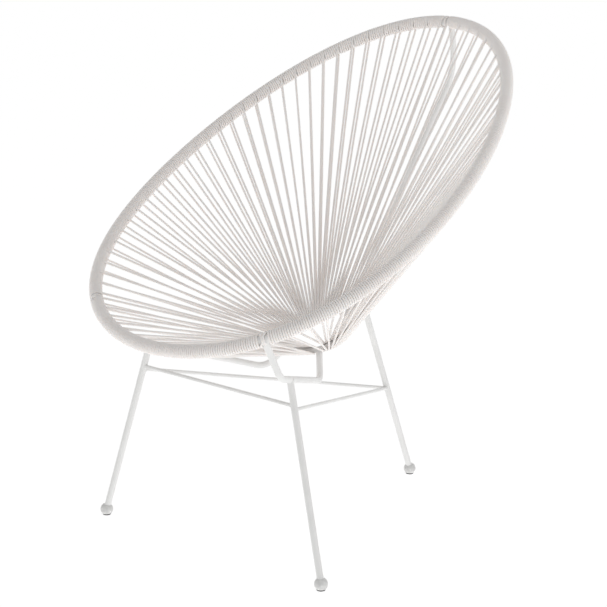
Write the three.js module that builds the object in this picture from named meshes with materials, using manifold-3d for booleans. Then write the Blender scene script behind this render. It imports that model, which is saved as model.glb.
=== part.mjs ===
// A lounge chair of bent steel tube with a seat of cord strung between a large hoop and a small ring.
// Millimetres, +Z up. The chair faces -Y, and +X is on the left hand of whoever sits in it.
import * as THREE from 'three';
import { mergeVertices } from 'three/addons/utils/BufferGeometryUtils.js';
import Module from 'manifold-3d';

const wasm = await Module();
wasm.setup();

// Fits
const jointGap = 0.3;              // left where pieces are welded, wound or pressed together
const windingClearance = 0.6;      // between a tube that breaks the winding and the cord beside it

// Hoop: one bent tube whose ends butt together behind the head. Its centre line is a smooth closed
// loop, and each size below is how far that loop swings in one direction and at one rhythm.
const hoopTubeDiameter = 16;
const hoopTubeWall = 1.5;
const hoopHalfWidth = 343;
const hoopShoulderWidth = 7;
const hoopHalfDepth = 390;
const hoopEggDepth = 22;
const hoopNoseDepth = 3;
const hoopMiddleHeight = 626;
const hoopHalfRise = 241;
const hoopSaddleRise = 17;
const hoopNoseRise = 4;

// Ring under the seat that all the cords run to
const ringTubeDiameter = 10;
const ringRadius = 60;
const ringHeight = 347.5;
const ringRearOffset = 51;
const ringTiltDegrees = 27;        // its rear stands higher, nearly in line with the hoop

// Front brackets: bent tubes that carry the hoop and the ring on the two front legs
const bracketTubeDiameter = 12;
const bracketDistanceFromFront = 221;      // along the hoop, from the front centre
const bracketElbowHalfSpacing = 203.5;
const bracketElbowDepth = 271;
const bracketElbowDrop = 68.2;      // below the straight line from the hoop to the ring
const bracketElbowRadius = 42;
const bracketLowHalfSpacing = 67.4;
const bracketLowOffset = 73.9;     // ahead of the ring's middle
const bracketLowDrop = 68.7;       // and below it
const bracketLowRadius = 32;
const postAngleDegrees = 37;       // where the bracket's end reaches the ring, from its front
const postOutwardOffset = 2;

// Spine: the bent tube up the back
const spineTubeDiameter = 12;
const spineTopOffset = 12;
const spineShoulderOffset = 27;
const spineShoulderDrop = 91;
const spineShoulderRadius = 110;
const spineHeelRearOffset = 161;
const spineHeelHeight = 407;
const spineHeelRadius = 100;

// Legs: straight round bars, given by where their middles would meet the floor
const legDiameter = 12;
const frontLegHalfSpacing = 273;
const frontLegForwardOffset = 245;
const frontLegTopOffset = 66;       // from the bracket's elbow to the leg, along the run to the ring
const rearLegRearOffset = 324;

// Braces: thin rods between the legs
const braceDiameter = 6.5;
const frontBraceDrop = 43.1;       // below the top of the front legs
const sideBraceDrop = 49.1;
const sideBraceRearHeight = 193;

// Feet: ball-shaped plastic caps, each on a rubber pad
const padDiameter = 15;
const padThickness = 2.2;
const padEdgeWidth = 0.7;
const footDiameter = 24;
const footBallHeight = 17.5;
const footFlatDiameter = 17;
const footNeckDiameter = 15;
const legSocketDepth = 11;

// Seat cord: wound round the hoop, and at every station run to the ring and back as two strands
const cordDiameter = 4;
const windingRibHeight = 0.6;      // how far the turns at a station stand above and below the rest
const ringLoopShare = 0.8;         // of the space each loop has on the ring
const frontStations = 7;           // on each half of the chair, ahead of the bracket
const sideStations = 33;           // from the bracket to the spine
const loopsAheadOfPost = 1;        // side stations whose cords reach the ring ahead of the post
const stationsPerLength = [3, 4, 4, 6, 6, 6, 6, 5];  // how the cord is cut into lengths

// How finely round things are faceted
const tubeSides = 10;
const braceSides = 8;
const hoopSides = 8;
const bendSteps = 5;
const ringSegments = 40;
const footSegments = 14;

const hoopTubeRadius = hoopTubeDiameter / 2;
const ringTubeRadius = ringTubeDiameter / 2;
const degrees = Math.PI / 180;
const vector = (x, y, z) => new THREE.Vector3(x, y, z);
const up = vector(0, 0, 1);
const mirrored = (point) => vector(-point.x, point.y, point.z);

// Materials
const powderCoat = () => new THREE.MeshStandardMaterial({ color: 0xf1f1ef, roughness: 0.42, metalness: 0 });
const whiteCord = () => new THREE.MeshStandardMaterial({ color: 0xefece6, roughness: 0.5, metalness: 0 });
const whitePlastic = () => new THREE.MeshStandardMaterial({ color: 0xf2f2f0, roughness: 0.3, metalness: 0 });
const blackRubber = () => new THREE.MeshStandardMaterial({ color: 0x1b1b1c, roughness: 0.85, metalness: 0 });

// Hoop centre line. The turn runs from 0 at the front over the left side to pi behind the head.
const hoopPoint = (turn) => vector(
  hoopHalfWidth * Math.sin(turn) + hoopShoulderWidth * Math.sin(3 * turn),
  hoopEggDepth * Math.cos(2 * turn) - hoopHalfDepth * Math.cos(turn) - hoopNoseDepth * Math.cos(3 * turn),
  hoopMiddleHeight - hoopHalfRise * Math.cos(turn) + hoopSaddleRise * Math.cos(2 * turn)
    - hoopNoseRise * Math.cos(3 * turn),
);

// Lengths along half of the hoop, so that the winding can be spaced evenly
const hoopSamples = 2000;
const hoopLengths = [0];
for (let i = 1; i <= hoopSamples; i += 1) {
  const step = hoopPoint((i - 1) / hoopSamples * Math.PI).distanceTo(hoopPoint(i / hoopSamples * Math.PI));
  hoopLengths.push(hoopLengths[i - 1] + step);
}
const hoopHalfLength = hoopLengths[hoopSamples];

function hoopTurnAt(length) {
  const along = Math.min(Math.abs(length), hoopHalfLength);
  const after = Math.max(1, hoopLengths.findIndex((reached) => reached >= along));
  const share = (along - hoopLengths[after - 1]) / (hoopLengths[after] - hoopLengths[after - 1]);
  return Math.sign(length) * (after - 1 + share) / hoopSamples * Math.PI;
}

const ringCentre = vector(0, ringRearOffset, ringHeight);
const ringTilt = ringTiltDegrees * degrees;
const ringAxis = vector(0, -Math.sin(ringTilt), Math.cos(ringTilt));

// The hoop's section at a length: its middle, the way along it, towards the ring, and the sitter's side
function hoopSection(length) {
  const turn = hoopTurnAt(length);
  const nudge = Math.PI / hoopSamples;
  const middle = hoopPoint(turn);
  const along = hoopPoint(turn + nudge).sub(hoopPoint(turn - nudge)).normalize();
  const inward = ringCentre.clone().sub(middle);
  inward.addScaledVector(along, -inward.dot(along)).normalize();
  return { middle, across: inward, rise: along.clone().cross(inward) };
}

// The ring's section at an angle from its front: its middle, the way out from it, and its upper side
function ringSection(angle) {
  const outward = vector(Math.sin(angle), -Math.cos(angle), 0).applyAxisAngle(vector(1, 0, 0), ringTilt);
  return { middle: ringCentre.clone().addScaledVector(outward, ringRadius), across: outward, rise: ringAxis };
}

const sectionPoints = (section, radius, anglesInDegrees) => anglesInDegrees.map((angle) => (
  section.middle.clone()
    .addScaledVector(section.across, radius * Math.cos(angle * degrees))
    .addScaledVector(section.rise, radius * Math.sin(angle * degrees))
));

// A closed surface gathered from rings of points and the faces between them
class Surface {
  constructor() {
    this.points = [];
    this.corners = [];
  }

  ring(points) {
    const first = this.points.length;
    this.points.push(...points);
    return points.map((point, i) => first + i);
  }

  face(...indices) {
    for (let i = 2; i < indices.length; i += 1) this.corners.push(indices[0], indices[i - 1], indices[i]);
  }

  // The wall between one ring and the next, without the facets that are left open
  wall(rings, facesOut, open = []) {
    for (let j = 1; j < rings.length; j += 1) {
      const near = rings[j - 1];
      const far = rings[j];
      near.forEach((corner, i) => {
        const next = (i + 1) % near.length;
        if (open.some(([row, facet]) => row === j - 1 && facet === i)) return;
        if (facesOut) this.face(corner, far[i], far[next], near[next]);
        else this.face(corner, near[next], far[next], far[i]);
      });
    }
  }

  // A sleeve: an outer wall, a bore and the two flat ends between them
  sleeve(outer, bore, facesOut, open = []) {
    this.wall(outer, facesOut, open);
    this.wall(bore, !facesOut);
    this.wall([bore[0], outer[0]], facesOut);
    this.wall([outer[outer.length - 1], bore[bore.length - 1]], facesOut);
  }

  geometry() {
    const geometry = new THREE.BufferGeometry();
    const positions = this.points.flatMap((point) => point.toArray());
    geometry.setAttribute('position', new THREE.Float32BufferAttribute(positions, 3));
    geometry.setIndex(this.corners);
    return geometry;
  }
}

// The same shape on the other side of the chair, with its faces still pointing out
function mirrorGeometry(geometry) {
  const copy = geometry.clone().scale(-1, 1, 1);
  const corners = Array.from(copy.getIndex().array);
  for (let i = 0; i < corners.length; i += 3) [corners[i], corners[i + 1]] = [corners[i + 1], corners[i]];
  copy.setIndex(corners);
  return copy;
}

// A bent bar's route: straight between its corners, with a rounded bend at each inner one
class BentRoute extends THREE.Curve {
  constructor(corners, radii = []) {
    super();
    this.places = [corners[0]];
    radii.forEach((radius, i) => this.places.push(...BentRoute.bend(corners, i + 1, radius)));
    this.places.push(corners[corners.length - 1]);
  }

  static bend(corners, i, radius) {
    const corner = corners[i];
    const back = corners[i - 1].clone().sub(corner).normalize();
    const ahead = corners[i + 1].clone().sub(corner).normalize();
    const halfAngle = back.angleTo(ahead) / 2;
    const bisector = back.clone().add(ahead).normalize();
    const middle = corner.clone().addScaledVector(bisector, radius / Math.sin(halfAngle));
    const first = corner.clone().addScaledVector(back, radius / Math.tan(halfAngle)).sub(middle);
    const axis = back.clone().cross(ahead).normalize();
    const sweep = Math.PI - 2 * halfAngle;
    return Array.from({ length: bendSteps + 1 }, (unused, k) => (
      first.clone().applyAxisAngle(axis, -sweep * k / bendSteps).add(middle)
    ));
  }

  get steps() {
    return this.places.length - 1;
  }

  getPoint(share) {
    const reach = Math.min(Math.max(share, 0), 1) * this.steps;
    const i = Math.min(Math.floor(reach), this.steps - 1);
    return this.places[i].clone().lerp(this.places[i + 1], reach - i);
  }

  // The sections stand at the route's own places, close together in the bends only
  getUtoTmapping(share) {
    return share;
  }
}

function barGeometry(route, radius, sides = tubeSides) {
  const outline = new THREE.Shape();
  for (let i = 0; i < sides; i += 1) {
    const angle = (i + 0.5) / sides * 2 * Math.PI;
    const move = i ? 'lineTo' : 'moveTo';
    outline[move](radius * Math.cos(angle), radius * Math.sin(angle));
  }
  return new THREE.ExtrudeGeometry(outline, { steps: route.steps, extrudePath: route, bevelEnabled: false });
}

// Cutting one solid by its neighbours, each given a little larger than it is
function toSolid(geometry) {
  const plain = geometry.clone();
  plain.deleteAttribute('normal');
  plain.deleteAttribute('uv');
  const merged = mergeVertices(plain);
  return new wasm.Manifold(new wasm.Mesh({
    numProp: 3,
    vertProperties: new Float32Array(merged.getAttribute('position').array),
    triVerts: new Uint32Array(merged.getIndex().array),
  }));
}

function cutGeometry(geometry, cutters) {
  const solid = cutters.reduce((left, cutter) => left.subtract(toSolid(cutter)), toSolid(geometry));
  const mesh = solid.getMesh();
  const result = new THREE.BufferGeometry();
  result.setAttribute('position', new THREE.Float32BufferAttribute(mesh.vertProperties, 3));
  result.setIndex(Array.from(mesh.triVerts));
  return result;
}

// Where the brackets and the spine break the winding
const bracketBreak = bracketTubeDiameter / 2 + windingClearance + cordDiameter / 2;
const spineBreak = spineTubeDiameter / 2 + windingClearance + cordDiameter / 2;
const postAngle = postAngleDegrees * degrees;
const postBreakAngle = Math.asin(bracketBreak / ringRadius);
const postLeanAngle = 1.5 * degrees;  // the post slants under the loops ahead of it
const spineBreakAngle = Math.asin(spineBreak / ringRadius);

// Where the cords of one half leave the hoop, as lengths along it, and reach the ring, as angles
const spread = (first, last, count) => Array.from({ length: count }, (unused, i) => (
  first + (last - first) * i / (count - 1)
));
const frontPitch = (bracketDistanceFromFront - bracketBreak) / (frontStations - 0.5);
const stationLengths = [
  ...spread(frontPitch / 2, bracketDistanceFromFront - bracketBreak, frontStations),
  ...spread(bracketDistanceFromFront + bracketBreak, hoopHalfLength - spineBreak, sideStations),
];
const loopsAhead = frontStations + loopsAheadOfPost;
const aheadPitch = (postAngle - postBreakAngle - postLeanAngle) / (loopsAhead - 0.5);
const loopAngles = [
  ...spread(aheadPitch / 2, postAngle - postBreakAngle - postLeanAngle, loopsAhead),
  ...spread(postAngle + postBreakAngle, Math.PI - spineBreakAngle, sideStations - loopsAheadOfPost),
];
const loopHalfAngle = Math.min(cordDiameter / ringRadius, ringLoopShare * aheadPitch) / 2;

// The winding's two ends at a joint between lengths of cord, or at a tube that breaks it
function windingStart(station) {
  if (station === 0) return jointGap / 2;
  if (station === frontStations) return stationLengths[station] - cordDiameter / 2;
  return (stationLengths[station - 1] + stationLengths[station] + jointGap) / 2;
}

function windingEnd(station) {
  const last = station === stationLengths.length - 1;
  if (last || station === frontStations - 1) return stationLengths[station] + cordDiameter / 2;
  return (stationLengths[station] + stationLengths[station + 1] - jointGap) / 2;
}

// How steeply the cords leave the ring: the loops are turned so that their strands run straight off them
const loopTilts = stationLengths.map((length, i) => {
  const { middle, across } = ringSection(loopAngles[i]);
  const way = hoopPoint(hoopTurnAt(length)).sub(middle);
  return Math.atan2(way.dot(ringAxis), way.dot(across));
});

function tiltAt(angle) {
  const within = Math.min(Math.max(angle, loopAngles[0]), loopAngles[loopAngles.length - 1]);
  const after = Math.max(1, loopAngles.findIndex((reached) => reached >= within));
  const share = (within - loopAngles[after - 1]) / (loopAngles[after] - loopAngles[after - 1]);
  return loopTilts[after - 1] + (loopTilts[after] - loopTilts[after - 1]) * share;
}

function loopSection(angle) {
  const { middle, across } = ringSection(angle);
  const tilt = tiltAt(angle);
  return {
    middle,
    across: across.clone().multiplyScalar(Math.cos(tilt)).addScaledVector(ringAxis, Math.sin(tilt)),
    rise: ringAxis.clone().multiplyScalar(Math.cos(tilt)).addScaledVector(across, -Math.sin(tilt)),
  };
}

// Section of the wound hoop and ring: the facets that strands leave by are one cord thick
const woundHoopRadius = hoopTubeRadius + cordDiameter;
const woundRingRadius = ringTubeRadius + cordDiameter;
const hoopFacetAngle = Math.asin(hoopTubeRadius / woundHoopRadius) / degrees;
const ringFacetAngle = Math.asin(ringTubeRadius / woundRingRadius) / degrees;
const hoopSectionAngles = [90, hoopFacetAngle, 0, -hoopFacetAngle, -90, -135, 180, 135];
const ringSectionAngles = [90, ringFacetAngle, -ringFacetAngle, -90, -150, 150];
const strandFacets = [[0, 0], [3, 2]];  // on the hoop and on the ring: above, then below

// A bore's corners stand off so that its flats clear the tube inside
const boreRadius = (tubeRadius, widestFacetDegrees) => (
  (tubeRadius + jointGap) / Math.cos(widestFacetDegrees / 2 * degrees)
);
const hoopBoreRadius = boreRadius(hoopTubeRadius, 90 - hoopFacetAngle);
const ringBoreRadius = boreRadius(ringTubeRadius + jointGap / 2, 2 * ringFacetAngle);

// Where the hoop's and the bore's sections stand, so that both are faceted alike
const cordLengths = [];
stationsPerLength.reduce((first, count) => {
  cordLengths.push({ first, last: first + count - 1 });
  return first + count;
}, 0);
const borePlaces = ({ first, last }) => [
  windingStart(first),
  ...stationLengths.slice(first, last + 1),
  windingEnd(last),
];

// The loops of one length of cord on the ring, in the runs that the post leaves them in
function ringRuns({ first, last }) {
  const parted = first < loopsAhead && last >= loopsAhead;
  return parted ? [[first, loopsAhead - 1], [loopsAhead, last]] : [[first, last]];
}

function cordGeometry({ first, last }) {
  const surface = new Surface();
  const hoopRing = (length, radius) => (
    surface.ring(sectionPoints(hoopSection(length), radius, hoopSectionAngles))
  );
  const loopRing = (angle, radius) => (
    surface.ring(sectionPoints(loopSection(angle), radius, ringSectionAngles))
  );
  const hoopOuter = [];
  const ringOuter = [];
  const hoopOpen = [];
  const ringOpen = [];
  const strands = [];
  const halfCord = cordDiameter / 2;
  if (windingStart(first) < stationLengths[first] - halfCord) {
    hoopOuter.push(hoopRing(windingStart(first), woundHoopRadius));
  }
  for (let i = first; i <= last; i += 1) {
    const row = hoopOuter.length;
    const ringRow = ringOuter.length;
    hoopOuter.push(hoopRing(stationLengths[i] - halfCord, woundHoopRadius + windingRibHeight));
    hoopOuter.push(hoopRing(stationLengths[i] + halfCord, woundHoopRadius - windingRibHeight));
    ringOuter.push(loopRing(loopAngles[i] - loopHalfAngle, woundRingRadius));
    ringOuter.push(loopRing(loopAngles[i] + loopHalfAngle, woundRingRadius));
    strandFacets.forEach(([hoopFacet, ringFacet]) => {
      hoopOpen.push([row, hoopFacet]);
      ringOpen.push([ringRow, ringFacet]);
      strands.push([facetCorners(hoopOuter, row, hoopFacet), facetCorners(ringOuter, ringRow, ringFacet)]);
    });
  }
  if (windingEnd(last) > stationLengths[last] + halfCord) {
    hoopOuter.push(hoopRing(windingEnd(last), woundHoopRadius));
  }
  const hoopBore = borePlaces({ first, last }).map((length) => hoopRing(length, hoopBoreRadius));
  surface.sleeve(hoopOuter, hoopBore, true, hoopOpen);
  ringRuns({ first, last }).forEach(([from, to]) => {
    const row = 2 * (from - first);
    const boreAngles = spread(
      loopAngles[from] - loopHalfAngle,
      loopAngles[to] + loopHalfAngle,
      Math.ceil((to - from) / 2) + 2,
    );
    surface.sleeve(
      ringOuter.slice(row, 2 * (to - first) + 2),
      boreAngles.map((angle) => loopRing(angle, ringBoreRadius)),
      false,
      ringOpen.map(([open, facet]) => [open - row, facet]),
    );
  });
  strands.forEach(([atHoop, atRing]) => atHoop.forEach((corner, i) => {
    const next = (i + 1) % atHoop.length;
    surface.face(corner, atHoop[next], atRing[next], atRing[i]);
  }));
  return surface.geometry();
}

function facetCorners(rings, row, facet) {
  const next = facet + 1;
  return [rings[row][facet], rings[row + 1][facet], rings[row + 1][next], rings[row][next]];
}

// Hoop tube, open where its two ends butt
function hoopGeometry() {
  const half = cordLengths.flatMap(borePlaces).filter((length) => length < hoopHalfLength - spineBreak);
  half.push(hoopHalfLength - spineBreak, hoopHalfLength - jointGap / 2);
  const places = [...half.map((length) => -length).reverse(), ...half];
  const angles = Array.from({ length: hoopSides }, (unused, i) => -360 * i / hoopSides);
  const surface = new Surface();
  const rings = (radius) => places.map((length) => (
    surface.ring(sectionPoints(hoopSection(length), radius, angles))
  ));
  surface.sleeve(rings(hoopTubeRadius), rings(hoopTubeRadius - hoopTubeWall), true);
  return surface.geometry();
}

const ringTube = (radius) => new THREE.TorusGeometry(ringRadius, radius, tubeSides, ringSegments)
  .rotateX(ringTilt)
  .translate(ringCentre.x, ringCentre.y, ringCentre.z);

// A cutter's radius, so that even its flats leave the joint gap round the bar that it stands for
const clearRadius = (radius, sides = tubeSides) => (radius + jointGap) / Math.cos(Math.PI / sides);

// The hoop's place at a joint, as a straight bar, to shape the end welded there
function hoopCutter(length) {
  const reach = hoopTubeDiameter;
  const turn = hoopTurnAt(length);
  const nudge = Math.PI / hoopSamples;
  const along = hoopPoint(turn + nudge).sub(hoopPoint(turn - nudge)).normalize();
  const middle = hoopPoint(turn);
  const ends = [-reach, reach].map((distance) => middle.clone().addScaledVector(along, distance));
  return barGeometry(new BentRoute(ends), clearRadius(hoopTubeRadius));
}

// Frame joints
const bracketTop = hoopPoint(hoopTurnAt(bracketDistanceFromFront));
const elbowPlace = vector(bracketElbowHalfSpacing, -bracketElbowDepth, 0);
const planDistance = (point) => Math.hypot(point.x - ringCentre.x, point.y - ringCentre.y);
const elbowShare = planDistance(elbowPlace) / planDistance(bracketTop);
const elbowLine = ringCentre.z + (bracketTop.z - ringCentre.z) * elbowShare;
const elbow = elbowPlace.addScaledVector(up, elbowLine - bracketElbowDrop);
const postTop = ringSection(postAngle).middle
  .addScaledVector(ringSection(postAngle).across, postOutwardOffset)
  .addScaledVector(ringAxis, -ringTubeRadius / 2);
const postBottom = ringCentre.clone().add(vector(bracketLowHalfSpacing, -bracketLowOffset, -bracketLowDrop));
const spineTop = hoopPoint(Math.PI).add(vector(0, spineTopOffset, 0));
const spineShoulder = hoopPoint(Math.PI).add(vector(0, spineShoulderOffset, -spineShoulderDrop));
const spineHeel = vector(0, spineHeelRearOffset, spineHeelHeight);
const frontLegFloor = vector(frontLegHalfSpacing, -frontLegForwardOffset, 0);
const alongRun = postBottom.clone().sub(elbow).normalize();
const frontLegTop = elbow.clone().addScaledVector(alongRun, frontLegTopOffset);
const rearLegFloor = vector(0, rearLegRearOffset, 0);
const atHeight = (floor, top, height) => floor.clone().lerp(top, height / top.z);

const bracketRoute = new BentRoute(
  [bracketTop, elbow, postBottom, postTop],
  [bracketElbowRadius, bracketLowRadius],
);
const spineRoute = new BentRoute(
  [spineTop, spineShoulder, spineHeel, ringSection(Math.PI).middle],
  [spineShoulderRadius, spineHeelRadius],
);

const bracketGeometry = () => cutGeometry(barGeometry(bracketRoute, bracketTubeDiameter / 2), [
  hoopCutter(bracketDistanceFromFront),
  ringTube(ringTubeRadius + jointGap),
]);
const spineGeometry = () => cutGeometry(barGeometry(spineRoute, spineTubeDiameter / 2), [
  hoopCutter(hoopHalfLength),
  ringTube(ringTubeRadius + jointGap),
]);

// Legs stand in their feet and are shaped at the top to the tube that they carry
const footBottom = padThickness + jointGap;
const legEndHeight = footBottom + footBallHeight - legSocketDepth;

function legGeometry(floor, top, carried) {
  const route = new BentRoute([atHeight(floor, top, legEndHeight), top]);
  return cutGeometry(barGeometry(route, legDiameter / 2), [carried]);
}
const frontLegGeometry = () => (
  legGeometry(frontLegFloor, frontLegTop, barGeometry(bracketRoute, clearRadius(bracketTubeDiameter / 2)))
);
const rearLegGeometry = () => (
  legGeometry(rearLegFloor, spineHeel, barGeometry(spineRoute, clearRadius(spineTubeDiameter / 2)))
);
const legCutter = (floor, top) => barGeometry(new BentRoute([floor, top]), clearRadius(legDiameter / 2));

function frontBraceGeometry() {
  const end = atHeight(frontLegFloor, frontLegTop, frontLegTop.z - frontBraceDrop);
  return cutGeometry(barGeometry(new BentRoute([end, mirrored(end)]), braceDiameter / 2, braceSides), [
    legCutter(frontLegFloor, frontLegTop),
    legCutter(mirrored(frontLegFloor), mirrored(frontLegTop)),
  ]);
}

// The two side braces meet in a mitre where both are welded to the rear leg
function sideBraceGeometry() {
  const front = atHeight(frontLegFloor, frontLegTop, frontLegTop.z - sideBraceDrop);
  const rear = atHeight(rearLegFloor, spineHeel, sideBraceRearHeight);
  const block = braceDiameter * 4;
  const otherSide = new THREE.BoxGeometry(block, block, block)
    .translate((jointGap - block) / 2, rear.y, rear.z);
  return cutGeometry(barGeometry(new BentRoute([front, rear]), braceDiameter / 2, braceSides), [
    legCutter(frontLegFloor, frontLegTop),
    legCutter(rearLegFloor, spineHeel),
    otherSide,
  ]);
}

// Feet: turned shapes on a plumb line through the leg's end
const footPlace = (floor, top) => {
  const place = atHeight(floor, top, footBottom + footBallHeight / 2);
  return vector(place.x, place.y, 0);
};
const turned = (outline) => new THREE.LatheGeometry(
  outline.map(([radius, height]) => new THREE.Vector2(radius, height)),
  footSegments,
).rotateX(Math.PI / 2);

function footGeometry(floor, top) {
  const ballSteps = 6;
  const flatAngle = -Math.acos(footFlatDiameter / footDiameter);
  const neckAngle = Math.acos(footNeckDiameter / footDiameter);
  const low = Math.sin(flatAngle);
  const high = Math.sin(neckAngle);
  const ball = spread(flatAngle, neckAngle, ballSteps).map((angle) => [
    footDiameter / 2 * Math.cos(angle),
    footBottom + footBallHeight * (Math.sin(angle) - low) / (high - low),
  ]);
  const place = footPlace(floor, top);
  const body = turned([[0, footBottom], ...ball, [0, footBottom + footBallHeight]])
    .translate(place.x, place.y, 0);
  const socketEnd = legEndHeight - jointGap;
  const socket = new BentRoute([atHeight(floor, top, socketEnd), atHeight(floor, top, footDiameter * 2)]);
  return cutGeometry(body, [barGeometry(socket, clearRadius(legDiameter / 2))]);
}

function padGeometry(floor, top) {
  const place = footPlace(floor, top);
  const radius = padDiameter / 2;
  return turned([
    [0, 0],
    [radius - padEdgeWidth, 0],
    [radius, padEdgeWidth],
    [radius, padThickness],
    [0, padThickness],
  ]).translate(place.x, place.y, 0);
}

// Assembly
const chair = new THREE.Group();
const frame = new THREE.Group();
const feet = new THREE.Group();
const seat = new THREE.Group();
chair.add(frame, feet, seat);

function piece(group, name, geometry, material) {
  const mesh = new THREE.Mesh(geometry, material);
  mesh.name = name;
  group.add(mesh);
}

function pair(group, name, geometry, material) {
  const merged = geometry.getIndex() ? geometry : mergeVertices(geometry);
  piece(group, `${name}_left`, merged, material());
  piece(group, `${name}_right`, mirrorGeometry(merged), material());
}

piece(frame, 'hoop_tube', hoopGeometry(), powderCoat());
piece(frame, 'seat_ring', ringTube(ringTubeRadius), powderCoat());
pair(frame, 'front_bracket', bracketGeometry(), powderCoat);
piece(frame, 'back_spine', spineGeometry(), powderCoat());
pair(frame, 'front_leg', frontLegGeometry(), powderCoat);
piece(frame, 'rear_leg', rearLegGeometry(), powderCoat());
piece(frame, 'front_brace', frontBraceGeometry(), powderCoat());
pair(frame, 'side_brace', sideBraceGeometry(), powderCoat);

pair(feet, 'front_foot', footGeometry(frontLegFloor, frontLegTop), whitePlastic);
piece(feet, 'rear_foot', footGeometry(rearLegFloor, spineHeel), whitePlastic());
pair(feet, 'front_pad', padGeometry(frontLegFloor, frontLegTop), blackRubber);
piece(feet, 'rear_pad', padGeometry(rearLegFloor, spineHeel), blackRubber());

cordLengths.forEach((cordLength, i) => pair(seat, `seat_cord_${i + 1}`, cordGeometry(cordLength), whiteCord));

// The origin is on the floor, under the middle of the chair's width and depth
chair.position.y = -new THREE.Box3().setFromObject(chair).getCenter(vector(0, 0, 0)).y;

export default chair;
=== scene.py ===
# %% [markdown]
# A lounge chair of bent steel tube and cord. An egg-shaped hoop and a small ring are held on three
# legs. Cord is wound round the hoop all the way, and every few turns it runs down to the ring and
# back, so that about a hundred and sixty taut strands make the seat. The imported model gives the
# frame that everything here is fitted to, in metres, with Z up and the sitter facing -Y.

# %% Load the frame
import math

import bmesh
import bpy
import numpy as np
from mathutils import Matrix, Vector


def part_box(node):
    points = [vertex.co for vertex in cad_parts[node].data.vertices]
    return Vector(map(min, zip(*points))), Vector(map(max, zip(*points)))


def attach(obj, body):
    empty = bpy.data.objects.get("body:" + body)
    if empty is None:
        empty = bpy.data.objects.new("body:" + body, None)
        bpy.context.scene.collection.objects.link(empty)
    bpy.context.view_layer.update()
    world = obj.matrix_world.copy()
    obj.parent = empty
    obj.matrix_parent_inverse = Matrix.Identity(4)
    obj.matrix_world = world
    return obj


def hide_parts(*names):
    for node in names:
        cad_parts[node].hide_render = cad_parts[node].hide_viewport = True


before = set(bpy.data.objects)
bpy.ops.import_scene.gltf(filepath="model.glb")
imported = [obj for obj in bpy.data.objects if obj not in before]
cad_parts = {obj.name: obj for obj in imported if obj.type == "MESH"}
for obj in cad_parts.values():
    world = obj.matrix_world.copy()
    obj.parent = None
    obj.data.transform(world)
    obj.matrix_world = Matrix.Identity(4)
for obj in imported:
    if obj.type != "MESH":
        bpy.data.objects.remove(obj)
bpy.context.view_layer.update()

mm = 0.001
TURN = 2 * math.pi
scene = bpy.context.scene

# %% [markdown]
# The camera comes first, because every choice of detail depends on what it sees. It stands to the
# right of the sitter's left knee, a little above the seat, at the distance and angle that make the
# hoop, the legs and the feet fall on their outlines in the photograph.

# %% Camera
PHOTO_SIZE = 607
CAMERA_AZIMUTH = math.radians(42.485)
CAMERA_ELEVATION = math.radians(13.72)
CAMERA_DISTANCE = 3.2827
CAMERA_TARGET = Vector((0.0198, -0.0385, 0.4108))
SENSOR_WIDTH = 36.0
FOCAL_PIXELS = 1816.3
CENTRE_PIXEL = (305.73, 303.80)

camera = bpy.data.objects.new("camera", bpy.data.cameras.new("camera"))
scene.collection.objects.link(camera)
camera_back = Vector((
    math.sin(CAMERA_AZIMUTH) * math.cos(CAMERA_ELEVATION),
    -math.cos(CAMERA_AZIMUTH) * math.cos(CAMERA_ELEVATION),
    math.sin(CAMERA_ELEVATION),
))
camera.location = CAMERA_TARGET + camera_back * CAMERA_DISTANCE
camera.rotation_euler = (-camera_back).to_track_quat("-Z", "Y").to_euler()
camera.data.sensor_width = SENSOR_WIDTH
camera.data.lens = FOCAL_PIXELS / PHOTO_SIZE * SENSOR_WIDTH
camera.data.shift_x = (PHOTO_SIZE / 2 - CENTRE_PIXEL[0]) / PHOTO_SIZE
camera.data.shift_y = (CENTRE_PIXEL[1] - PHOTO_SIZE / 2) / PHOTO_SIZE
scene.camera = camera
print("camera at", tuple(round(c, 3) for c in camera.location), "lens", round(camera.data.lens, 1))

# %% [markdown]
# A white chair on a white ground is read by its shading alone. The floor and the surroundings show
# as white to the camera and to reflections. The photograph's light comes up from the white floor
# and in from all sides, and less comes from above, so the chair's upper edges are greyer than its
# legs. The floor and the dimmer surroundings do nearly all the lighting, and one broad, weak lamp
# stands on the side where the rim is brightest. Part of the floor's white is its own colour, lit
# by them, so the floor still takes the chair's shadow.

# %% Stage and light
WHITE = (1, 1, 1, 1)
FLOOR_SIZE = 60.0
FLOOR_LIGHT = 0.7              # how strongly the floor's glow lights the chair
WORLD_LIGHT = 0.5              # and the surroundings above it
FLOOR_COLOR = 0.7              # the share of the light on it that the floor gives back


def node_material(name):
    material = bpy.data.materials.new(name)
    material.use_nodes = True
    nodes = material.node_tree.nodes
    nodes.clear()
    output = nodes.new("ShaderNodeOutputMaterial")
    return material, nodes, material.node_tree.links, output


def seen_white(nodes, links, light, seen_light=1.0):
    """A strength for where the camera, a reflection or a clear body looks, and one for lighting."""
    path = nodes.new("ShaderNodeLightPath")
    camera_or_gloss = nodes.new("ShaderNodeMath")
    camera_or_gloss.operation = "MAXIMUM"
    links.new(path.outputs["Is Camera Ray"], camera_or_gloss.inputs[0])
    links.new(path.outputs["Is Glossy Ray"], camera_or_gloss.inputs[1])
    seen = nodes.new("ShaderNodeMath")
    seen.operation = "MAXIMUM"
    links.new(camera_or_gloss.outputs[0], seen.inputs[0])
    links.new(path.outputs["Is Transmission Ray"], seen.inputs[1])
    strength = nodes.new("ShaderNodeMapRange")
    strength.inputs["To Min"].default_value = light
    strength.inputs["To Max"].default_value = seen_light
    links.new(seen.outputs[0], strength.inputs["Value"])
    return strength.outputs["Result"]


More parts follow.
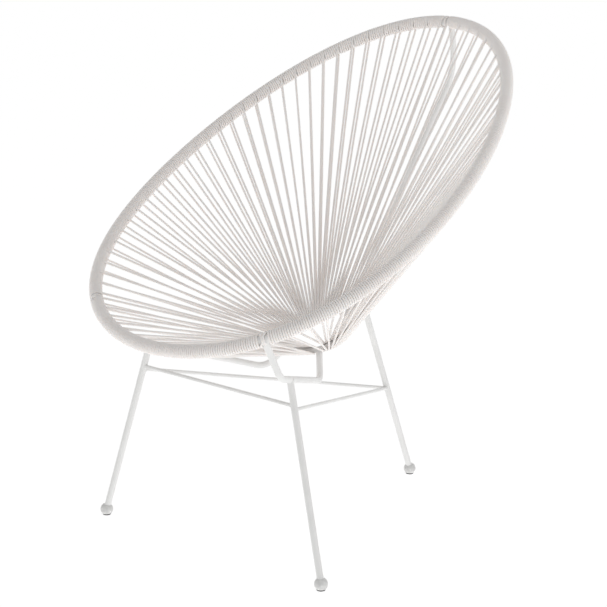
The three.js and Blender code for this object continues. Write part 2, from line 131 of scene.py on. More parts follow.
def floor_material():
    material, nodes, links, output = node_material("pale_floor")
    glow = nodes.new("ShaderNodeEmission")
    glow.inputs["Color"].default_value = WHITE
    seen_glow = 1 - FLOOR_COLOR * WORLD_LIGHT
    links.new(seen_white(nodes, links, FLOOR_LIGHT, seen_glow), glow.inputs["Strength"])
    lit = nodes.new("ShaderNodeBsdfDiffuse")
    lit.inputs["Color"].default_value = (FLOOR_COLOR, FLOOR_COLOR, FLOOR_COLOR, 1)
    both = nodes.new("ShaderNodeAddShader")
    links.new(glow.outputs[0], both.inputs[0])
    links.new(lit.outputs[0], both.inputs[1])
    links.new(both.outputs[0], output.inputs["Surface"])
    return material


bm = bmesh.new()
bmesh.ops.create_grid(bm, x_segments=1, y_segments=1, size=FLOOR_SIZE / 2)
floor_mesh = bpy.data.meshes.new("floor")
bm.to_mesh(floor_mesh)
bm.free()
floor = bpy.data.objects.new("floor", floor_mesh)
scene.collection.objects.link(floor)
floor_mesh.materials.append(floor_material())
print("floor", FLOOR_SIZE, "m across, gives back", FLOOR_COLOR, "of its light")

# %% World and lamp
LAMP_PLACE = Vector((2.7, 0.5, 1.5))
LAMP_TARGET = Vector((0, 0, 0.45))     # the middle of the chair
LAMP_SIZE = 1.5
LAMP_POWER = 8

world = bpy.data.worlds.new("white_surroundings")
world.use_nodes = True
scene.world = world
world_nodes, world_links = world.node_tree.nodes, world.node_tree.links
world_nodes.clear()
background = world_nodes.new("ShaderNodeBackground")
background.inputs["Color"].default_value = WHITE
world_links.new(seen_white(world_nodes, world_links, WORLD_LIGHT), background.inputs["Strength"])
world_output = world_nodes.new("ShaderNodeOutputWorld")
world_links.new(background.outputs[0], world_output.inputs["Surface"])
scene.view_settings.view_transform = "Standard"

lamp = bpy.data.objects.new("side_lamp", bpy.data.lights.new("side_lamp", "AREA"))
scene.collection.objects.link(lamp)
lamp.data.size = LAMP_SIZE
lamp.data.energy = LAMP_POWER
lamp.location = LAMP_PLACE
lamp.rotation_euler = (LAMP_TARGET - LAMP_PLACE).to_track_quat("-Z", "Y").to_euler()
print(lamp.name, "at", tuple(round(c, 3) for c in lamp.location), "of", lamp.data.energy, "W")

# %% [markdown]
# Four finishes cover the chair. The steel is powder coated white: satin, with the fine orange peel
# of baked powder. The cord is white PVC, creamier and softer, and lets light a little way in. The
# ball feet are milky moulded plastic, and the pads under them are black rubber.

# %% Finish helpers
NOISE_DETAIL = 2.0
RAMP_START = 0.35              # the noise up to here gives the first of two tints
RAMP_END = 0.65                # and from here on the second


def noise(nodes, links, coordinates, scale, detail=NOISE_DETAIL):
    texture = nodes.new("ShaderNodeTexNoise")
    texture.inputs["Scale"].default_value = scale
    texture.inputs["Detail"].default_value = detail
    links.new(coordinates, texture.inputs["Vector"])
    return texture.outputs["Fac"]


def ramp(nodes, links, value, low, high):
    """Turns a noise into a colour or a roughness between two near ones."""
    blend = nodes.new("ShaderNodeValToRGB")
    first, second = blend.color_ramp.elements
    first.position, second.position = RAMP_START, RAMP_END
    first.color, second.color = (*low, 1), (*high, 1)
    links.new(value, blend.inputs["Fac"])
    return blend.outputs["Color"]


def finish(
    name, sockets, bump, tint_scale, tints, grain_scale, grain_detail=NOISE_DETAIL, sheen_scale=0, sheens=()
):
    """A principled surface of uneven tint with a fine bump and, where it is given, uneven sheen."""
    material, nodes, links, output = node_material(name)
    surface = nodes.new("ShaderNodeBsdfPrincipled")
    relief = nodes.new("ShaderNodeBump")
    for node, values in ((surface, sockets), (relief, bump)):
        for socket, value in values.items():
            node.inputs[socket].default_value = value
    place = nodes.new("ShaderNodeTexCoord").outputs["Object"]
    tint = ramp(nodes, links, noise(nodes, links, place, tint_scale), *tints)
    links.new(tint, surface.inputs["Base Color"])
    if sheens:
        low, high = ((sheen,) * 3 for sheen in sheens)
        sheen = ramp(nodes, links, noise(nodes, links, place, sheen_scale), low, high)
        links.new(sheen, surface.inputs["Roughness"])
    links.new(noise(nodes, links, place, grain_scale, grain_detail), relief.inputs["Height"])
    links.new(relief.outputs["Normal"], surface.inputs["Normal"])
    links.new(surface.outputs[0], output.inputs["Surface"])
    return material


# %% Finishes
COAT = finish(
    "powder_coat",
    {"Base Color": (0.86, 0.86, 0.85, 1), "Roughness": 0.4},
    {"Strength": 0.25, "Distance": 0.2 * mm},
    tint_scale=18,
    tints=((0.83, 0.83, 0.82), (0.88, 0.88, 0.872)),
    grain_scale=900,
    grain_detail=3.0,
    sheen_scale=60,
    sheens=(0.36, 0.46),
)
# Light gets a little way into the cord, so that thin strands glow where the winding does not.
VINYL = finish(
    "cord_vinyl",
    {
        "Base Color": (0.94, 0.9, 0.875, 1),
        "Roughness": 0.45,
        "Subsurface Weight": 0.35,
        "Subsurface Radius": (1.0, 0.92, 0.85),
        "Subsurface Scale": 1.2 * mm,
    },
    {"Strength": 0.2, "Distance": 0.1 * mm},
    tint_scale=14,
    tints=((0.935, 0.89, 0.867), (0.96, 0.917, 0.893)),
    grain_scale=700,
    sheen_scale=160,
    sheens=(0.4, 0.52),
)
PLASTIC = finish(
    "foot_plastic",
    {"Base Color": (0.87, 0.87, 0.86, 1), "Roughness": 0.3, "Transmission Weight": 0.25, "IOR": 1.49},
    {"Strength": 0.08, "Distance": 0.1 * mm},
    tint_scale=120,
    tints=((0.84, 0.84, 0.83), (0.9, 0.9, 0.89)),
    grain_scale=400,
)
RUBBER = finish(
    "pad_rubber",
    {"Base Color": (0.02, 0.02, 0.021, 1), "Roughness": 0.8, "Specular IOR Level": 0.2},
    {"Strength": 0.5, "Distance": 0.2 * mm},
    tint_scale=300,
    tints=((0.015, 0.015, 0.016), (0.04, 0.039, 0.038)),
    grain_scale=1500,
)
print("finishes", [m.name for m in (COAT, VINYL, PLASTIC, RUBBER)])

# %% [markdown]
# Everything hangs on two lines: the hoop's centre line and the ring's circle. The hoop is a closed
# curve with no straight stretch, like the real tube that is rolled into its egg shape, so it is
# written as a few waves round one turn. A section across it has a side that looks towards the ring
# and a side that looks at the sitter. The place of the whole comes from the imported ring.

# %% Hoop and ring lines
HOOP_RADIUS = 8 * mm
RING_TUBE_RADIUS = 5 * mm
RING_RADIUS = 60 * mm
RING_REAR_OFFSET = 51 * mm     # from the hoop's own middle to the ring's
RING_TILT = math.radians(27)   # the ring's rear stands higher, nearly in line with the hoop
HOOP_HALF_WIDTH = 343 * mm
HOOP_SHOULDER_WIDTH = 7 * mm
HOOP_HALF_DEPTH = 390 * mm
HOOP_EGG_DEPTH = 22 * mm
HOOP_NOSE_DEPTH = 3 * mm
HOOP_MIDDLE_HEIGHT = 626 * mm
HOOP_HALF_RISE = 241 * mm
HOOP_SADDLE_RISE = 17 * mm
HOOP_NOSE_RISE = 4 * mm
RING_AXIS = Vector((0, -math.sin(RING_TILT), math.cos(RING_TILT)))

ring_low, ring_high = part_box("seat_ring")
RING_CENTRE = (ring_low + ring_high) / 2
REAR_SHIFT = RING_CENTRE.y - RING_REAR_OFFSET


def hoop_point(turn):
    return Vector((
        HOOP_HALF_WIDTH * math.sin(turn) + HOOP_SHOULDER_WIDTH * math.sin(3 * turn),
        REAR_SHIFT + HOOP_EGG_DEPTH * math.cos(2 * turn) - HOOP_HALF_DEPTH * math.cos(turn)
        - HOOP_NOSE_DEPTH * math.cos(3 * turn),
        HOOP_MIDDLE_HEIGHT - HOOP_HALF_RISE * math.cos(turn) + HOOP_SADDLE_RISE * math.cos(2 * turn)
        - HOOP_NOSE_RISE * math.cos(3 * turn),
    ))


HOOP_SAMPLES = 2000
sample_turns = np.linspace(0, math.pi, HOOP_SAMPLES + 1)
sample_points = np.array([hoop_point(turn) for turn in sample_turns])
sample_lengths = np.concatenate([[0], np.cumsum(np.linalg.norm(np.diff(sample_points, axis=0), axis=1))])
HOOP_HALF_LENGTH = float(sample_lengths[-1])


def hoop_section(length):
    """Middle, way along, way towards the ring and the sitter's side, at a length from the front."""
    turn = float(np.interp(abs(length), sample_lengths, sample_turns)) * (1 if length >= 0 else -1)
    nudge = math.pi / HOOP_SAMPLES
    middle = hoop_point(turn)
    along = (hoop_point(turn + nudge) - hoop_point(turn - nudge)).normalized()
    inward = RING_CENTRE - middle
    inward = (inward - along * inward.dot(along)).normalized()
    return middle, along, inward, along.cross(inward)


def ring_section(angle):
    """Middle of the ring's tube and the way out from it, at an angle from the ring's front."""
    front = Vector((0, -math.cos(RING_TILT), -math.sin(RING_TILT)))
    outward = Vector((math.sin(angle), 0, 0)) + front * math.cos(angle)
    return RING_CENTRE + outward * RING_RADIUS, outward


print("half of the hoop is", round(HOOP_HALF_LENGTH, 4), "m")
print("ring centre", tuple(round(c, 4) for c in RING_CENTRE))

# %% [markdown]
# The frame is round bar and tube, bent on a former and welded. A bending former sweeps the bar
# round a fixed centre, which is what the spin operator does, so each bar starts as a circle, is
# extruded along its straight stretches and spun through its bends. The hoop has no straight
# stretch, so its tube is the one made with a bevelled curve.

# %% Bar helpers
BAR_SIDES = 28
BEND_STEPS = 12
MERGE_DISTANCE = 0.01 * mm
SHARP_ANGLE = math.radians(40)


def finish_mesh(bm, name, material):
    """Makes a piece from a bmesh: merged, facing out, smooth but for its sharp edges."""
    bmesh.ops.remove_doubles(bm, verts=bm.verts, dist=MERGE_DISTANCE)
    bmesh.ops.recalc_face_normals(bm, faces=bm.faces)
    mesh = bpy.data.meshes.new(name)
    for face in bm.faces:
        face.smooth = True
    for edge in bm.edges:
        edge.smooth = not edge.is_manifold or edge.calc_face_angle(0) < SHARP_ANGLE
    bm.to_mesh(mesh)
    bm.free()
    mesh.materials.append(material)
    piece = bpy.data.objects.new(name, mesh)
    scene.collection.objects.link(piece)
    return piece


def dress(piece, slot, *nodes):
    """The piece rides on the chair and stands for its nodes, which it hides; its slot is not used."""
    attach(piece, "root")
    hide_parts(*nodes)
    return piece


def bend(corners, i, radius):
    """Where the bend at a corner starts, its centre, its axis and how far it turns."""
    back = (corners[i - 1] - corners[i]).normalized()
    ahead = (corners[i + 1] - corners[i]).normalized()
    half = back.angle(ahead) / 2
    start = corners[i] + back * (radius / math.tan(half))
    centre = corners[i] + (back + ahead).normalized() * (radius / math.sin(half))
    return start, centre, back.cross(ahead).normalized(), 2 * half - math.pi


def bent_bar(corners, radii, radius):
    """A bmesh of a round bar along straight lines, spun through a bend at each inner corner."""
    bm = bmesh.new()
    first = (corners[1] - corners[0]).normalized()
    place = Matrix.Translation(corners[0]) @ first.to_track_quat("Z", "Y").to_matrix().to_4x4()
    bmesh.ops.create_circle(bm, cap_ends=True, segments=BAR_SIDES, radius=radius, matrix=place)
    edges = bm.edges[:]
    reached = corners[0]
    for i, bend_radius in enumerate(radii, 1):
        start, centre, axis, sweep = bend(corners, i, bend_radius)
        edges = extrude_ring(bm, edges, start - reached)
        spun = bmesh.ops.spin(
            bm, geom=edges + ring_vertices(edges), cent=centre, axis=axis, angle=sweep, steps=BEND_STEPS
        )
        edges = [e for e in spun["geom_last"] if isinstance(e, bmesh.types.BMEdge)]
        reached = centre + Matrix.Rotation(sweep, 3, axis) @ (start - centre)
    edges = extrude_ring(bm, edges, corners[-1] - reached)
    bmesh.ops.edgeloop_fill(bm, edges=edges)
    return bm


def ring_vertices(edges):
    return list({vertex for edge in edges for vertex in edge.verts})


def extrude_ring(bm, edges, way):
    moved = bmesh.ops.extrude_edge_only(bm, edges=edges)["geom"]
    bmesh.ops.translate(bm, vec=way, verts=[v for v in moved if isinstance(v, bmesh.types.BMVert)])
    return [e for e in moved if isinstance(e, bmesh.types.BMEdge) and all(v in moved for v in e.verts)]


def mirrored(point):
    return Vector((-point.x, point.y, point.z))


def bar_piece(name, nodes, corners, radii, radius):
    piece = finish_mesh(bent_bar(corners, radii, radius), name, COAT)
    dress(piece, "powder_coat", *nodes)
    print(name, len(piece.data.polygons), "faces,", len(corners) - 1, "stretches")
    return piece


# %% [markdown]
# Each front bracket is one bent bar: down from the hoop, inwards under the seat, and up to the
# ring. The spine is another, from the top of the hoop down the back and forward to the ring. The
# three legs stand under them, each on a line from the floor to the bar that it carries, and thin
# braces join the legs in a triangle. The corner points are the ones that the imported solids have.

# %% Frame joints
BAR_RADIUS = 6 * mm
BRACE_RADIUS = 3.25 * mm
BRACKET_DISTANCE_FROM_FRONT = 221 * mm
ELBOW = Vector((203.5 * mm, REAR_SHIFT - 271 * mm, 360.4 * mm))
ELBOW_BEND = 42 * mm
LOW_CORNER = Vector((67.4 * mm, -73.9 * mm, -68.7 * mm))    # from the ring's middle
LOW_BEND = 32 * mm
POST_ANGLE = math.radians(37)
POST_OUTSET = 2 * mm
LEG_TOP_OFFSET = 66 * mm
FRONT_BRACE_DROP = 43.1 * mm
SIDE_BRACE_DROP = 49.1 * mm
REAR_BRACE_HEIGHT = 193 * mm
SPINE_TOP_OFFSET = Vector((0, 12 * mm, 0))                  # from the top of the hoop's centre line
SPINE_SHOULDER_OFFSET = Vector((0, 27 * mm, -91 * mm))      # from the same point
SPINE_HEEL = Vector((0, REAR_SHIFT + 161 * mm, 407 * mm))
SPINE_BENDS = [110 * mm, 100 * mm]
FRONT_FLOOR = Vector((273 * mm, REAR_SHIFT - 245 * mm, 0))
REAR_FLOOR = Vector((0, REAR_SHIFT + 324 * mm, 0))

bracket_top, bracket_along, *_ = hoop_section(BRACKET_DISTANCE_FROM_FRONT)
post_middle, post_outward = ring_section(POST_ANGLE)
post_top = post_middle + post_outward * POST_OUTSET - RING_AXIS * RING_TUBE_RADIUS / 2
post_bottom = RING_CENTRE + LOW_CORNER
spine_top = hoop_point(math.pi) + SPINE_TOP_OFFSET
spine_shoulder = hoop_point(math.pi) + SPINE_SHOULDER_OFFSET
spine_end = ring_section(math.pi)[0]
front_leg_top = ELBOW + (post_bottom - ELBOW).normalized() * LEG_TOP_OFFSET


def at_height(low, high, height):
    return low.lerp(high, height / high.z)


front_brace_end = at_height(FRONT_FLOOR, front_leg_top, front_leg_top.z - FRONT_BRACE_DROP)
side_brace_end = at_height(FRONT_FLOOR, front_leg_top, front_leg_top.z - SIDE_BRACE_DROP)
rear_brace_end = at_height(REAR_FLOOR, SPINE_HEEL, REAR_BRACE_HEIGHT)
print("leg top", tuple(round(c, 4) for c in front_leg_top), "post top", tuple(round(c, 4) for c in post_top))

# %% Frame bars
LEG_END_HEIGHT = 9 * mm

for side, flip in (("left", Vector), ("right", mirrored)):
    bracket = [flip(p) for p in (bracket_top, ELBOW, post_bottom, post_top)]
    bar_piece(f"bracket_bar_{side}", [f"front_bracket_{side}"], bracket, [ELBOW_BEND, LOW_BEND], BAR_RADIUS)
    leg = [flip(at_height(FRONT_FLOOR, front_leg_top, LEG_END_HEIGHT)), flip(front_leg_top)]
    bar_piece(f"leg_bar_{side}", [f"front_leg_{side}"], leg, [], BAR_RADIUS)
    brace = [flip(side_brace_end), flip(rear_brace_end)]
    bar_piece(f"side_brace_rod_{side}", [f"side_brace_{side}"], brace, [], BRACE_RADIUS)
spine = [spine_top, spine_shoulder, SPINE_HEEL, spine_end]
bar_piece("spine_bar", ["back_spine"], spine, SPINE_BENDS, BAR_RADIUS)
rear_leg = [at_height(REAR_FLOOR, SPINE_HEEL, LEG_END_HEIGHT), SPINE_HEEL]
bar_piece("leg_bar_rear", ["rear_leg"], rear_leg, [], BAR_RADIUS)
front_brace = [front_brace_end, mirrored(front_brace_end)]
bar_piece("front_brace_rod", ["front_brace"], front_brace, [], BRACE_RADIUS)

# %% [markdown]
# The ring is a bar spun through a full circle. The hoop follows its own line, so a curve with a
# round bevel sweeps it, and the curve is then made a mesh. It shows only where the brackets and the
# spine break the winding.

# %% Ring and hoop tubes
RING_STEPS = 96
HOOP_STEPS = 240
TUBE_BEVEL = 8
CORD_BEVEL = 2

bm = bmesh.new()
ring_start = Matrix.Translation(ring_section(0)[0]) @ Matrix.Rotation(math.pi / 2, 4, "Y")
bmesh.ops.create_circle(bm, segments=BAR_SIDES, radius=RING_TUBE_RADIUS, matrix=ring_start)
bmesh.ops.spin(
    bm, geom=bm.edges[:] + bm.verts[:], cent=RING_CENTRE, axis=RING_AXIS,
    angle=TURN, steps=RING_STEPS, use_merge=True,
)
dress(finish_mesh(bm, "ring_bar", COAT), "powder_coat", "seat_ring")


def swept(name, runs, radius, material, bevel=CORD_BEVEL, closed=False):
    """A mesh swept along each run of points, as round bar, with the ends closed."""
    curve = bpy.data.curves.new(name, "CURVE")
    curve.dimensions = "3D"
    curve.bevel_depth = radius
    curve.bevel_resolution = bevel
    curve.use_fill_caps = True
    for points, sizes in runs:
        spline = curve.splines.new("POLY")
        spline.points.add(len(points) - 1)
        spline.points.foreach_set("co", np.hstack([points, np.ones((len(points), 1))]).ravel())
        spline.points.foreach_set("radius", sizes)
        spline.use_cyclic_u = closed
    holder = bpy.data.objects.new(f"{name}_line", curve)
    scene.collection.objects.link(holder)
    depsgraph = bpy.context.evaluated_depsgraph_get()
    mesh = bpy.data.meshes.new_from_object(holder.evaluated_get(depsgraph), depsgraph=depsgraph)
    bpy.data.objects.remove(holder)
    bm = bmesh.new()
    bm.from_mesh(mesh)
    bpy.data.meshes.remove(mesh)
    return finish_mesh(bm, name, material)


hoop_line = np.array([hoop_point(turn) for turn in np.linspace(0, TURN, HOOP_STEPS, endpoint=False)])
hoop_run = [(hoop_line, np.ones(len(hoop_line)))]
hoop_tube = swept("hoop_bar", hoop_run, HOOP_RADIUS, COAT, TUBE_BEVEL, closed=True)
dress(hoop_tube, "powder_coat", "hoop_tube")
print("hoop", len(hoop_tube.data.polygons), "faces")

# %% [markdown]
# Where two bars meet, a weld bead runs round the joint under the powder coat. The bead's line is
# where the surface of the bar that ends there crosses the surface of the bar that it ends on, and
# its thickness ripples a little, as a hand-laid bead does.

# %% Weld beads
BEAD_RADIUS = 1.3 * mm
BEAD_POINTS = 48
BEAD_RIPPLES = 15
BEAD_RIPPLE_SHARE = 0.12


def bead_line(end, way, radius, carrier, carrier_way, carrier_radius):
    """Points round the joint of a bar that ends inside a carrier; way points back along the bar."""
    side = way.orthogonal().normalized()
    other = way.cross(side)
    points = []
    for angle in np.linspace(0, TURN, BEAD_POINTS, endpoint=False):
        start = end + (side * math.cos(angle) + other * math.sin(angle)) * radius
        offset = start - carrier
        flat_way = way - carrier_way * way.dot(carrier_way)
        flat_offset = offset - carrier_way * offset.dot(carrier_way)
        a, b = flat_way.length_squared, 2 * flat_way.dot(flat_offset)
        c = flat_offset.length_squared - carrier_radius ** 2
        root = math.sqrt(max(b * b - 4 * a * c, 0))
        points.append(start + way * ((-b + root) / (2 * a)))
    return np.array(points)


def bead(*joint):
    ripples = np.linspace(0, TURN * BEAD_RIPPLES, BEAD_POINTS, endpoint=False)
    return bead_line(*joint), 1 + BEAD_RIPPLE_SHARE * np.sin(ripples)


def way_between(start, end):
    return (end - start).normalized()


run_way = way_between(ELBOW, post_bottom)
post_way = way_between(post_top, post_bottom)
leg_way = way_between(front_leg_top, FRONT_FLOOR)
side_brace_way = way_between(side_brace_end, rear_brace_end)
ring_way_at_post = post_outward.cross(RING_AXIS)
joints = [
    (bracket_top, way_between(bracket_top, ELBOW), BAR_RADIUS, bracket_top, bracket_along, HOOP_RADIUS),
    (post_top, post_way, BAR_RADIUS, post_middle, ring_way_at_post, RING_TUBE_RADIUS),
    (front_leg_top, leg_way, BAR_RADIUS, front_leg_top, run_way, BAR_RADIUS),
    (side_brace_end, side_brace_way, BRACE_RADIUS, side_brace_end, leg_way, BAR_RADIUS),
    (front_brace_end, Vector((-1, 0, 0)), BRACE_RADIUS, front_brace_end, leg_way, BAR_RADIUS),
]
for side, flip in (("left", Vector), ("right", mirrored)):
    beads = [bead(*(flip(part) if isinstance(part, Vector) else part for part in joint)) for joint in joints]
    welds = swept(f"welds_{side}", beads, BEAD_RADIUS, COAT, closed=True)
    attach(welds, "root")
    print(f"welds_{side}", len(beads), "beads")

# %% [markdown]
# The cord is the piece that everyone sees. One length of it starts wound on the hoop, and at every
# station it leaves the hoop on the sitter's side, runs taut to the ring, goes round the ring's
# inner side, comes back to the hoop's underside, and winds on for eight turns to the next station.
# So each length is one line of points, made turn by turn, and swept as a round cord. The lengths
# break where a bracket, the spine or a join between two hanks breaks the real winding.

# %% Cord stations
CORD_DIAMETER = 4 * mm
CORD_RADIUS = CORD_DIAMETER / 2
WINDING_CLEARANCE = 0.6 * mm
FRONT_STATIONS = 7
SIDE_STATIONS = 33
LOOPS_AHEAD_OF_POST = 1
POST_LEAN = math.radians(1.5)  # the post slants under the loops ahead of it
STATIONS_PER_LENGTH = (3, 4, 4, 6, 6, 6, 6, 5)

break_half = BAR_RADIUS + WINDING_CLEARANCE + CORD_RADIUS
break_angle = math.asin(break_half / RING_RADIUS)
front_pitch = (BRACKET_DISTANCE_FROM_FRONT - break_half) / (FRONT_STATIONS - 0.5)
half_lengths = [
    *np.linspace(front_pitch / 2, BRACKET_DISTANCE_FROM_FRONT - break_half, FRONT_STATIONS),
    *np.linspace(BRACKET_DISTANCE_FROM_FRONT + break_half, HOOP_HALF_LENGTH - break_half, SIDE_STATIONS),
]
loops_ahead = FRONT_STATIONS + LOOPS_AHEAD_OF_POST
ahead_pitch = (POST_ANGLE - break_angle - POST_LEAN) / (loops_ahead - 0.5)
half_angles = [
    *np.linspace(ahead_pitch / 2, POST_ANGLE - break_angle - POST_LEAN, loops_ahead),
    *np.linspace(POST_ANGLE + break_angle, math.pi - break_angle, SIDE_STATIONS - LOOPS_AHEAD_OF_POST),
]
HALF_COUNT = len(half_lengths)
station_lengths = [-length for length in reversed(half_lengths)] + half_lengths
loop_angles = [-angle for angle in reversed(half_angles)] + half_angles
LAST_STATION = len(station_lengths) - 1
# The stations with a bar between them and the next one, and those next ones
BARS_AFTER = (HALF_COUNT - FRONT_STATIONS - 1, HALF_COUNT + FRONT_STATIONS - 1, LAST_STATION)
BARS_BEFORE = tuple((station + 1) % len(station_lengths) for station in BARS_AFTER)
print("stations", len(station_lengths), "apart", round(half_lengths[-1] - half_lengths[-2], 4), "m")

# %% [markdown]
# The winding is a helix round the hoop's line. Cord lies turn beside turn, so the number of turns
# between two stations follows from the cord's thickness. It ends on a half turn, because the cord
# comes back from the ring at the hoop's underside and leaves again on the sitter's side. Where a
# bar is welded to the hoop the winding stops, and its last part turn leans over the joint.

# %% Winding on the hoop
WOUND_RADIUS = HOOP_RADIUS + CORD_RADIUS
TURN_POINTS = 20
STRAND_OFFSET = CORD_DIAMETER / 4      # the strand down lies this far before a station, the one back after
INNER_SPREAD = 2 * mm                  # the turns spread over the place that a station leaves open
CUT_TURNS = 4 + 1 / 8                  # lengths are cut this many turns after a station
CUT_GAP = 0.0004                       # of the winding between two stations
BAR_TUCK = 6.5 * mm                    # how far a length's end leans over a bar's joint
TUCK_BEFORE = math.radians(150)        # the part turn that leans over it from the rear side
TUCK_AFTER = math.radians(265)         # and from the front side
TUCK_EASE = math.radians(60)           # it leans over within this much of the turn
TUCK_HOLD = math.radians(20)           # once it has passed the bar


def wound_point(length, angle):
    """The cord's middle on the hoop, at an angle of 0 towards the ring, 90 degrees to the sitter."""
    middle, _, inward, rise = hoop_section(length)
    return middle + (inward * math.cos(angle) + rise * math.sin(angle)) * WOUND_RADIUS


def tuck(away, angle_from, sweep, hold, lean):
    """The last part turn, from where it leaves the winding to where it leans over a bar's joint."""
    points = []
    for turned_by in np.linspace(0, abs(sweep), round(abs(sweep) / TURN * TURN_POINTS) + 1):
        eased = min(max((turned_by - hold) / TUCK_EASE, 0), 1)
        length = away + lean * eased * eased * (3 - 2 * eased)
        points.append(wound_point(length, angle_from + math.copysign(turned_by, sweep)))
    return points


def span_after(station):
    """Where the turns after a station start and end, and their number: some whole ones and a half."""
    start = station_lengths[station] + STRAND_OFFSET
    end = station_lengths[station + 1] - STRAND_OFFSET
    return start, end, round((end - start) / CORD_DIAMETER + 0.5) - 0.5


def cut_share(station):
    """Where a length ends between two stations: in a middle turn, at the hoop's outer underside."""
    *_, turns = span_after(station)
    return CUT_TURNS / turns


def winding_after(station, shares=(0, 1)):
    """The turns between a station and the next, or a share of them."""
    start, end, turns = span_after(station)
    points = []
    for share in np.linspace(*shares, round(turns * (shares[1] - shares[0]) * TURN_POINTS)):
        angle = -TURN / 4 - TURN * turns * share
        open_side = max(math.cos(angle), 0) ** 2
        length = start + (end - start) * share - INNER_SPREAD * open_side * (1 - 2 * share)
        points.append(wound_point(length, angle))
    return points


# %% [markdown]
# A taut strand is a straight line, so it needs points only near its ends, where the swept cord has
# to turn without a kink. Its loop goes round the ring's inner side, from a quarter turn on one side
# of the strand's own direction to a quarter turn on the other, so the strand meets it straight.

# %% Strands and lengths of cord
LOOP_RADIUS = RING_TUBE_RADIUS + CORD_RADIUS
LOOP_POINTS = 12
STRAND_SHARES = (0.012, 0.03, 0.1, 0.5, 0.9, 0.97, 0.988)      # where a strand has points


def station_points(station):
    """The strand to the ring, the loop round its inner side, and the strand back."""
    length, angle = station_lengths[station], loop_angles[station]
    top, *_, rise = hoop_section(length - STRAND_OFFSET)
    low, *_, low_rise = hoop_section(length + STRAND_OFFSET)
    middle, outward = ring_section(angle)
    way = top - middle
    tilt = math.atan2(way.dot(RING_AXIS), way.dot(outward))
    leave, back = top + rise * WOUND_RADIUS, low - low_rise * WOUND_RADIUS
    loop = []
    for turn in np.linspace(TURN / 4, TURN * 3 / 4, LOOP_POINTS):
        around = outward * math.cos(tilt + turn) + RING_AXIS * math.sin(tilt + turn)
        loop.append(middle + around * LOOP_RADIUS)
    down = [leave.lerp(loop[0], share) for share in STRAND_SHARES]
    rising = [loop[-1].lerp(back, share) for share in STRAND_SHARES]
    return [*down, *loop, *rising]


def cord_line(first, last):
    """One length of cord from its first turn to its last."""
    if first in BARS_BEFORE:
        away = station_lengths[first] - STRAND_OFFSET
        points = tuck(away, TURN / 4, TUCK_BEFORE, 0, -BAR_TUCK)[::-1]
    else:
        points = winding_after(first - 1, (cut_share(first - 1) + CUT_GAP, 1))
    for station in range(first, last + 1):
        points += station_points(station)
        if station < last:
            points += winding_after(station)
    if last in BARS_AFTER:
        away = station_lengths[last] + STRAND_OFFSET
        points += tuck(away, -TURN / 4, -TUCK_AFTER, TUCK_HOLD, BAR_TUCK)
    else:
        points += winding_after(last, (0, cut_share(last) - CUT_GAP))
    return np.array(points)


def line_length(points):
    return float(np.linalg.norm(np.diff(points, axis=0), axis=1).sum())


# %% Wound and strung cord
cord_total = 0.0
reached = HALF_COUNT
for number, count in enumerate(STATIONS_PER_LENGTH, 1):
    last_left, last_right = reached + count - 1, LAST_STATION - reached
    spans = (("left", reached, last_left), ("right", last_right - count + 1, last_right))
    for side, first, last in spans:
        line = cord_line(first, last)
        cord = swept(f"cord_length_{number}_{side}", [(line, np.ones(len(line)))], CORD_RADIUS, VINYL)
        dress(cord, "cord", f"seat_cord_{number}_{side}")
        cord_total += line_length(line)
        faces = len(cord.data.polygons)
        print(f"cord {number} {side}: {count} stations, {line_length(line):.2f} m, {faces} faces")
    reached += count
print("cord in all", round(cord_total, 1), "m")

# %% [markdown]
# Each leg ends in a ball-shaped glide of milky plastic, moulded with a flat underneath for a rubber
# pad. A ball of this kind is a turned shape, so its outline is spun round a plumb line.

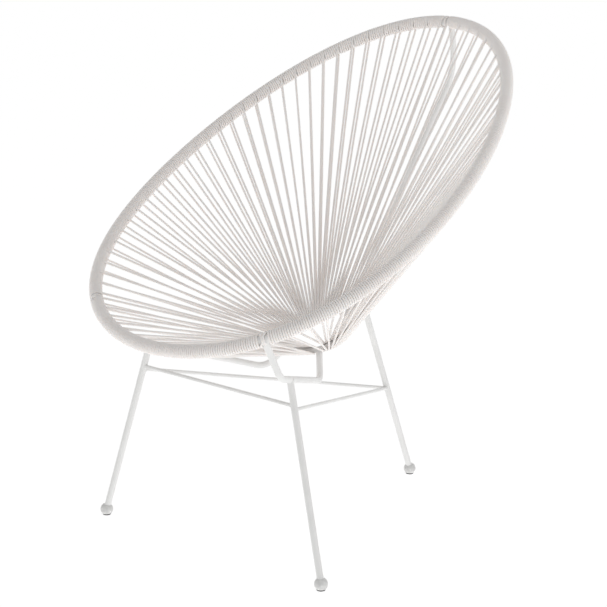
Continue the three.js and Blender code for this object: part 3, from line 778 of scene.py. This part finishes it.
# %% Feet
PAD_RADIUS = 7.5 * mm
PAD_THICKNESS = 2.2 * mm
PAD_EDGE = 0.7 * mm
PAD_GAP = 0.3 * mm             # between the pad and the foot
FOOT_RADIUS = 12 * mm
FOOT_HEIGHT = 17.5 * mm
FOOT_FLAT_RADIUS = 8.5 * mm
FOOT_NECK_RADIUS = 7.5 * mm
FOOT_BOTTOM = PAD_THICKNESS + PAD_GAP
OUTLINE_STEPS = 14
SPIN_STEPS = 40
UP = Vector((0, 0, 1))


def turned(name, outline, place, material):
    """A solid of revolution: an outline of (radius, height) spun round a plumb line."""
    bm = bmesh.new()
    chain = [bm.verts.new((radius, 0, height)) for radius, height in outline]
    edges = [bm.edges.new(pair) for pair in zip(chain, chain[1:])]
    bmesh.ops.spin(
        bm, geom=chain + edges, cent=(0, 0, 0), axis=UP, angle=TURN, steps=SPIN_STEPS, use_merge=True
    )
    bmesh.ops.translate(bm, vec=place, verts=bm.verts)
    return finish_mesh(bm, name, material)


flat_angle = -math.acos(FOOT_FLAT_RADIUS / FOOT_RADIUS)
neck_angle = math.acos(FOOT_NECK_RADIUS / FOOT_RADIUS)
ball = []
for angle in np.linspace(flat_angle, neck_angle, OUTLINE_STEPS):
    share = (math.sin(angle) - math.sin(flat_angle)) / (math.sin(neck_angle) - math.sin(flat_angle))
    ball.append((FOOT_RADIUS * math.cos(angle), FOOT_BOTTOM + FOOT_HEIGHT * share))
ball_outline = [(0, FOOT_BOTTOM), *ball, (0, FOOT_BOTTOM + FOOT_HEIGHT)]
pad_outline = [
    (0, 0),
    (PAD_RADIUS - PAD_EDGE, 0),
    (PAD_RADIUS, PAD_EDGE),
    (PAD_RADIUS, PAD_THICKNESS),
    (0, PAD_THICKNESS),
]
for name, node in (("left", "front_{}_left"), ("right", "front_{}_right"), ("rear", "rear_{}")):
    low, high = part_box(node.format("pad"))
    place = Vector(((low.x + high.x) / 2, (low.y + high.y) / 2, 0))
    dress(turned(f"ball_foot_{name}", ball_outline, place, PLASTIC), "foot_plastic", node.format("foot"))
    dress(turned(f"rubber_pad_{name}", pad_outline, place, RUBBER), "rubber", node.format("pad"))
    print("foot", name, "at", tuple(round(c, 4) for c in place))
